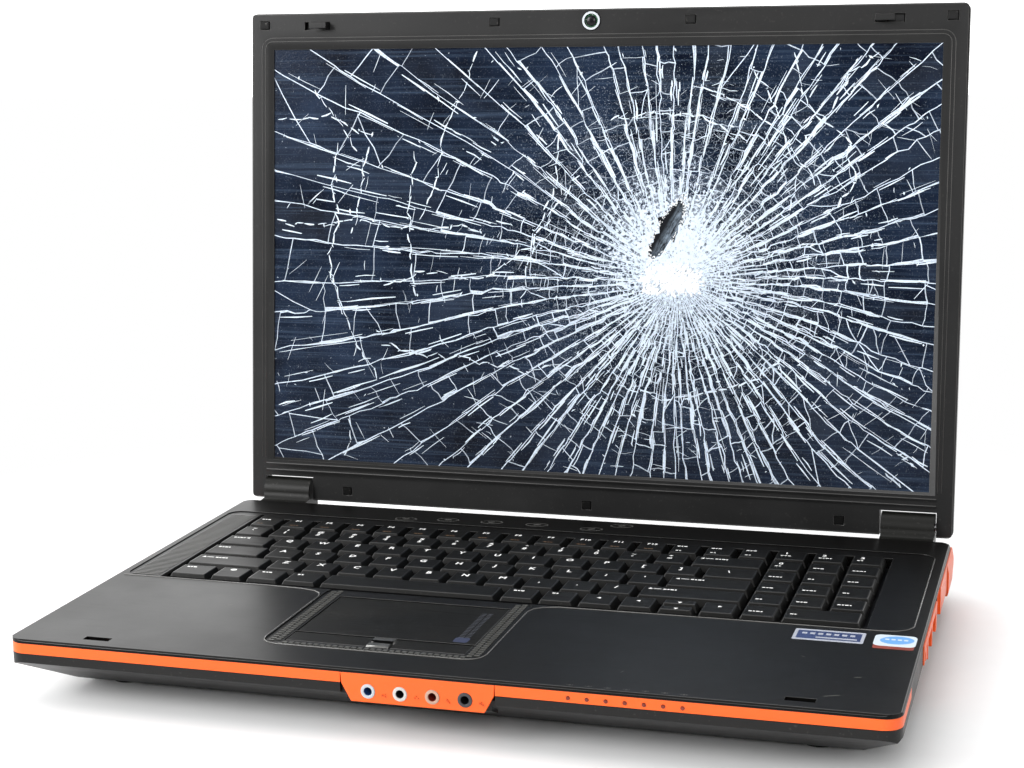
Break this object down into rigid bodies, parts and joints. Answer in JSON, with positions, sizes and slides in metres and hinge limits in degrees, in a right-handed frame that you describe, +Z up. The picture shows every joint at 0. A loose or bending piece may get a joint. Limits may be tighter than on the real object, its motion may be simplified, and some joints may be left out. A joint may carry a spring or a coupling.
{
  "type": "broken laptop",
  "caption": "Old black and orange notebook computer, lid open, its screen shattered around an impact point.",
  "frame": {"origin": "on the table, under the middle of the open machine's bounding box", "axes": "+X to the user's right, +Y from the front edge to the hinge, +Z up from the table"},
  "size_m": [0.398, 0.3028, 0.3028],
  "materials": {
    "case_plastic": "satin moulded plastic, scuffed",
    "deck_plastic": "satin painted plastic with fine grain",
    "frame_plastic": "satin plastic",
    "orange_plastic": "satin bright orange plastic",
    "hinge_plastic": "satin plastic with a worn top edge",
    "key_plastic": "fine matt plastic with pale legends",
    "pad_plastic": "fine grained plastic",
    "silver_plastic": "silver painted plastic",
    "jack_plastic": "moulded, one ring colour a jack",
    "light_plastic": "clear tinted plastic, unlit",
    "rubber": "matt",
    "steel": "plain zinc-plated steel",
    "black_steel": "black oxide",
    "copper": "bare copper",
    "aluminium": "satin",
    "board": "green solder mask",
    "panel": "dark display surface",
    "glass": "broken glass, dark behind",
    "chrome": "polished ring"
  },
  "bodies": {
    "base": {"bottom_case": "case_plastic", "top_case": "deck_plastic", "front_band": "orange_plastic", "jack_panel": "orange_plastic", "audio_jacks": "jack_plastic", "right_side_trim": "orange_plastic", "left_side_trim": "orange_plastic", "hinge_caps": "hinge_plastic", "hinge_barrels": "steel", "keyboard_plate": "key_plastic", "touchpad": "pad_plastic", "button_divider": "silver_plastic", "status_lights": "light_plastic", "feet": "rubber", "battery": "case_plastic", "service_cover": "case_plastic", "drive_cover": "case_plastic", "base_screws": "black_steel", "motherboard": "board", "heat_sink": "copper", "fan_housing": "case_plastic", "hard_drive": "aluminium", "memory_modules": "board", "wireless_card": "board", "optical_drive": "steel", "speakers": "case_plastic", "port_sockets": "steel", "power_inlet": "case_plastic", "function_keys": "key_plastic", "number_keys": "key_plastic", "upper_letter_keys": "key_plastic", "home_letter_keys": "key_plastic", "lower_letter_keys": "key_plastic", "bottom_keys": "key_plastic", "number_pad_keys": "key_plastic"},
    "lid": {"lid_back": "case_plastic", "screen_frame": "frame_plastic", "display_panel": "panel", "cracked_glass": "glass", "webcam_ring": "chrome", "webcam_board": "board", "lid_bumpers": "rubber", "frame_screw_caps": "frame_plastic", "hinge_arms": "steel", "inverter_board": "board", "display_cable": "case_plastic"},
    "space_bar": {"space_bar": "key_plastic"},
    "enter_key": {"enter_key": "key_plastic"},
    "backspace_key": {"backspace_key": "key_plastic"},
    "left_shift_key": {"left_shift_key": "key_plastic"},
    "right_shift_key": {"right_shift_key": "key_plastic"},
    "left_touch_button": {"left_touch_button": "pad_plastic"},
    "right_touch_button": {"right_touch_button": "pad_plastic"},
    "battery_latch": {"battery_latch": "case_plastic"},
    "fan_rotor": {"fan_rotor": "case_plastic"},
    "disc_tray": {"disc_tray": "case_plastic"},
    "eject_button": {"eject_button": "case_plastic"},
    "left_lid_latch": {"left_lid_latch": "steel"},
    "right_lid_latch": {"right_lid_latch": "steel"}
  },
  "joints": [
    {"name": "lid_hinge", "type": "hinge", "parent": "base", "child": "lid", "pos_m": [0, 0.12054, 0.0342], "axis": [1, 0, 0], "range_deg": [-40, 95.3]},
    {"name": "space_bar_press", "type": "slide", "parent": "base", "child": "space_bar", "axis": [0, 0, -1], "range_m": [0, 0.0025], "stiffness_N_per_m": 240},
    {"name": "enter_key_press", "type": "slide", "parent": "base", "child": "enter_key", "axis": [0, 0, -1], "range_m": [0, 0.0025], "stiffness_N_per_m": 240},
    {"name": "backspace_key_press", "type": "slide", "parent": "base", "child": "backspace_key", "axis": [0, 0, -1], "range_m": [0, 0.0025], "stiffness_N_per_m": 240},
    {"name": "left_shift_key_press", "type": "slide", "parent": "base", "child": "left_shift_key", "axis": [0, 0, -1], "range_m": [0, 0.0025], "stiffness_N_per_m": 240},
    {"name": "right_shift_key_press", "type": "slide", "parent": "base", "child": "right_shift_key", "axis": [0, 0, -1], "range_m": [0, 0.0025], "stiffness_N_per_m": 240},
    {"name": "left_touch_button_press", "type": "slide", "parent": "base", "child": "left_touch_button", "axis": [0, 0, -1], "range_m": [0, 0.0008], "stiffness_N_per_m": 500},
    {"name": "right_touch_button_press", "type": "slide", "parent": "base", "child": "right_touch_button", "axis": [0, 0, -1], "range_m": [0, 0.0008], "stiffness_N_per_m": 500},
    {"name": "battery_latch_slide", "type": "slide", "parent": "base", "child": "battery_latch", "axis": [1, 0, 0], "range_m": [0, 0.004], "stiffness_N_per_m": 200},
    {"name": "fan_spin", "type": "hinge", "parent": "base", "child": "fan_rotor", "pos_m": [0.148, 0.06197, 0.01], "axis": [0, 0, 1], "continuous": true},
    {"name": "tray_slide", "type": "slide", "parent": "base", "child": "disc_tray", "axis": [-1, 0, 0], "range_m": [0, 0.112]},
    {"name": "eject_press", "type": "slide", "parent": "disc_tray", "child": "eject_button", "axis": [1, 0, 0], "range_m": [0, 0.0008], "stiffness_N_per_m": 400},
    {"name": "left_latch_slide", "type": "slide", "parent": "lid", "child": "left_lid_latch", "axis": [-1, 0, 0], "range_m": [0, 0.004]},
    {"name": "right_latch_slide", "type": "slide", "parent": "lid", "child": "right_lid_latch", "axis": [1, 0, 0], "range_m": [0, 0.004]}
  ]
}
